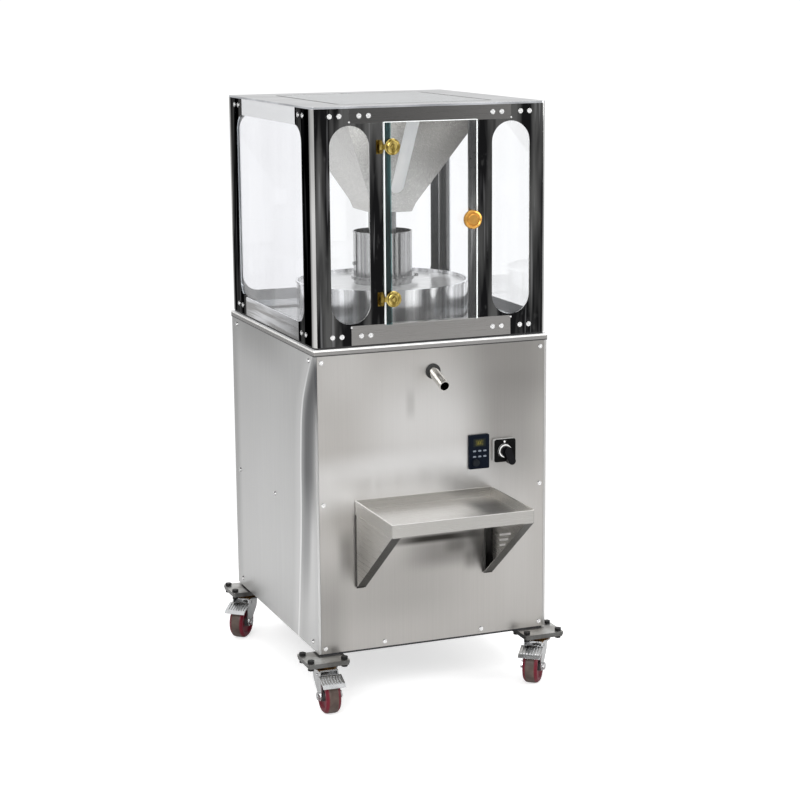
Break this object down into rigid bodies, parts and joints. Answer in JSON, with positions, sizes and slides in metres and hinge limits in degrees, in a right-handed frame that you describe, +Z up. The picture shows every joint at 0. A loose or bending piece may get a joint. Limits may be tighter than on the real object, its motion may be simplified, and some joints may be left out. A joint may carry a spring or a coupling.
{
  "type": "nut butter grinder",
  "caption": "Free-standing stone-mill nut butter grinder: steel cabinet on braked casters, glazed hopper and drum enclosure, spout over a shelf.",
  "frame": {"origin": "bottom centre of the bounding box, on the floor", "axes": "+Z up along the height, front (spout, shelf and door) faces -Y, +X to the right seen from the front"},
  "size_m": [0.6016, 0.8096, 1.236],
  "materials": {
    "black_steel": "satin black paint",
    "panel_steel": "satin brushed stainless",
    "deck_steel": "satin brushed stainless",
    "screw_steel": "bright stainless",
    "gasket": "matt black",
    "polished_steel": "mirror-polished stainless",
    "rail_steel": "brushed stainless",
    "clear_glass": "clear glass",
    "brass": "polished brass",
    "hopper_steel": "brushed stainless",
    "clear_plastic": "clear strip",
    "drum_steel": "bright turned stainless",
    "stone": "dressed stone",
    "machine_steel": "turned steel",
    "cast_iron": "cast iron",
    "belt_rubber": "matt black",
    "motor_paint": "satin blue-grey paint",
    "black_plastic": "matt black",
    "keypad_plastic": "satin dark blue-black",
    "display": "yellow-green display window",
    "key_print": "light grey",
    "zinc": "bright zinc plate",
    "wheel_pu": "dark red polyurethane"
  },
  "bodies": {
    "machine": {"base_frame": "black_steel", "panel_front": "panel_steel", "panel_left": "panel_steel", "panel_right": "panel_steel", "panel_back": "panel_steel", "top_deck": "deck_steel", "screws": "screw_steel", "gasket": "gasket", "posts_front": "polished_steel", "posts_back": "polished_steel", "rails_front": "rail_steel", "rails_closed": "rail_steel", "glass_front": "clear_glass", "glass_closed": "clear_glass", "top_frame": "polished_steel", "hinge_bases": "brass", "hopper": "hopper_steel", "hopper_window": "clear_plastic", "feed_tube": "drum_steel", "tube_clamp": "drum_steel", "drum": "drum_steel", "drum_lid": "drum_steel", "upper_stone": "stone", "bearing_housing": "cast_iron", "belt": "belt_rubber", "motor": "motor_paint", "spout": "hopper_steel", "grommet": "gasket", "shelf": "panel_steel", "brackets": "panel_steel", "shelf_pads": "gasket", "keypad_body": "keypad_plastic", "keypad_display": "display", "keypad_keys": "key_print", "switch_plate": "black_plastic", "power_gland": "black_plastic", "caster_plates": "zinc", "caster_bolts": "black_steel"},
    "lid": {"lid_glass": "clear_glass"},
    "door": {"door_glass": "clear_glass", "hinge_clamps": "brass", "door_knob": "brass"},
    "rotor": {"runner_stone": "stone", "spindle": "machine_steel", "driven_pulley": "cast_iron"},
    "motor_shaft": {"drive_pulley": "machine_steel"},
    "speed_knob": {"speed_knob": "black_plastic"},
    "switch": {"switch_handle": "black_plastic"},
    "fork_fl": {"fork_fl": "zinc"},
    "wheel_fl": {"wheel_fl": "wheel_pu"},
    "pedal_fl": {"pedal_fl": "zinc"},
    "fork_fr": {"fork_fr": "zinc"},
    "wheel_fr": {"wheel_fr": "wheel_pu"},
    "pedal_fr": {"pedal_fr": "zinc"},
    "fork_rl": {"fork_rl": "zinc"},
    "wheel_rl": {"wheel_rl": "wheel_pu"},
    "pedal_rl": {"pedal_rl": "zinc"},
    "fork_rr": {"fork_rr": "zinc"},
    "wheel_rr": {"wheel_rr": "wheel_pu"},
    "pedal_rr": {"pedal_rr": "zinc"}
  },
  "joints": [
    {"name": "door_hinge", "type": "hinge", "parent": "machine", "child": "door", "pos_m": [-0.09424, -0.198, 0.996], "axis": [0, 0, -1], "range_deg": [0, 110]},
    {"name": "lid_lift", "type": "slide", "parent": "machine", "child": "lid", "axis": [0, 0, 1], "range_m": [0, 0.08]},
    {"name": "rotor_spin", "type": "hinge", "parent": "machine", "child": "rotor", "pos_m": [0.01776, 0.095, 0.752], "axis": [0, 0, 1], "continuous": true},
    {"name": "motor_spin", "type": "hinge", "parent": "machine", "child": "motor_shaft", "pos_m": [0.01776, 0.285, 0.552], "axis": [0, 0, 1], "continuous": true},
    {"name": "speed_turn", "type": "hinge", "parent": "machine", "child": "speed_knob", "pos_m": [0.11076, -0.1973, 0.49], "axis": [0, -1, 0], "range_deg": [-140, 140]},
    {"name": "switch_turn", "type": "hinge", "parent": "machine", "child": "switch", "pos_m": [0.17676, -0.2018, 0.51], "axis": [0, -1, 0], "range_deg": [-23, 67]},
    {"name": "swivel_fl", "type": "hinge", "parent": "machine", "child": "fork_fl", "pos_m": [-0.23224, -0.197, 0.089], "axis": [0, 0, 1], "continuous": true},
    {"name": "roll_fl", "type": "hinge", "parent": "fork_fl", "child": "wheel_fl", "pos_m": [-0.23353, -0.23398, 0.0375], "axis": [0.9994, -0.0349, 0], "continuous": true},
    {"name": "brake_fl", "type": "hinge", "parent": "fork_fl", "child": "pedal_fl", "pos_m": [-0.23294, -0.21699, 0.079], "axis": [0.9994, -0.0349, 0], "range_deg": [-12, 7]},
    {"name": "swivel_fr", "type": "hinge", "parent": "machine", "child": "fork_fr", "pos_m": [0.25576, -0.197, 0.089], "axis": [0, 0, 1], "continuous": true},
    {"name": "roll_fr", "type": "hinge", "parent": "fork_fr", "child": "wheel_fr", "pos_m": [0.23298, -0.22616, 0.0375], "axis": [0.788, -0.6157, 0], "continuous": true},
    {"name": "brake_fr", "type": "hinge", "parent": "fork_fr", "child": "pedal_fr", "pos_m": [0.24345, -0.21276, 0.079], "axis": [0.788, -0.6157, 0], "range_deg": [-12, 7]},
    {"name": "swivel_rl", "type": "hinge", "parent": "machine", "child": "fork_rl", "pos_m": [-0.23224, 0.343, 0.089], "axis": [0, 0, 1], "continuous": true},
    {"name": "roll_rl", "type": "hinge", "parent": "fork_rl", "child": "wheel_rl", "pos_m": [-0.25602, 0.31466, 0.0375], "axis": [0.766, -0.6428, 0], "continuous": true},
    {"name": "brake_rl", "type": "hinge", "parent": "fork_rl", "child": "pedal_rl", "pos_m": [-0.2451, 0.32768, 0.079], "axis": [0.766, -0.6428, 0], "range_deg": [-12, 7]},
    {"name": "swivel_rr", "type": "hinge", "parent": "machine", "child": "fork_rr", "pos_m": [0.25576, 0.343, 0.089], "axis": [0, 0, 1], "continuous": true},
    {"name": "roll_rr", "type": "hinge", "parent": "fork_rr", "child": "wheel_rr", "pos_m": [0.24071, 0.3092, 0.0375], "axis": [0.9135, -0.4067, 0], "continuous": true},
    {"name": "brake_rr", "type": "hinge", "parent": "fork_rr", "child": "pedal_rr", "pos_m": [0.24763, 0.32473, 0.079], "axis": [0.9135, -0.4067, 0], "range_deg": [-12, 7]}
  ],
  "couplings": [
    {"joint": "motor_spin", "follows": "rotor_spin", "ratio": 2.1166}
  ]
}
